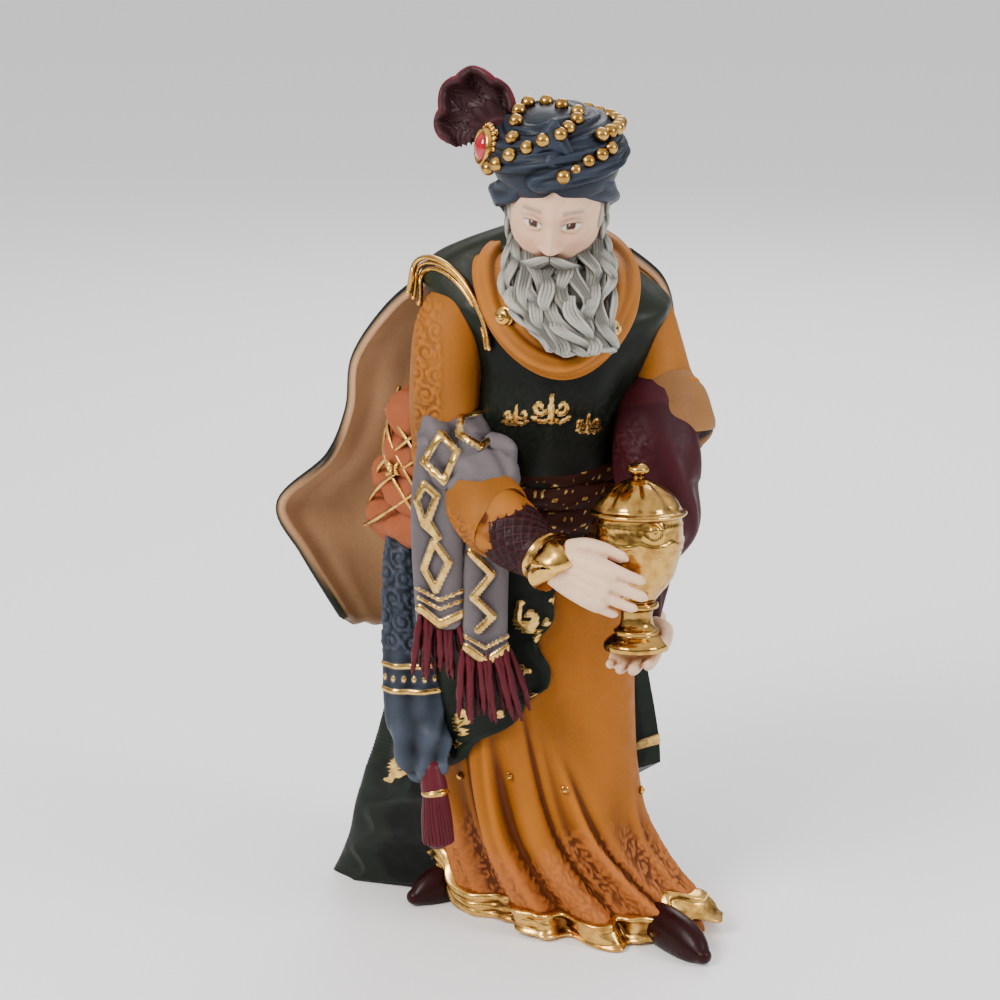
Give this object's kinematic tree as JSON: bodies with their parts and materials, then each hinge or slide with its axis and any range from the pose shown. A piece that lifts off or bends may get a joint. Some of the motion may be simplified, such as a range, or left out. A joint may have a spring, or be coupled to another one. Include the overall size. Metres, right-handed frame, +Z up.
{
  "type": "nativity wise man figurine",
  "caption": "Painted porcelain figurine of an old robed wise man with a jewelled turban, a swept cape and a gold urn held out in both hands.",
  "frame": {"origin": "on the flat underside, below the body", "axes": "+Z up, -Y to the front that the figure faces, +X to the figure's own left"},
  "size_m": [0.1459, 0.1282, 0.2798],
  "materials": {
    "painted_bisque": "hand-painted matte bisque porcelain with fired gold",
    "red_glass": "polished"
  },
  "bodies": {
    "root": {"wise_man": "painted_bisque", "turban_jewel": "red_glass"}
  },
  "joints": []
}
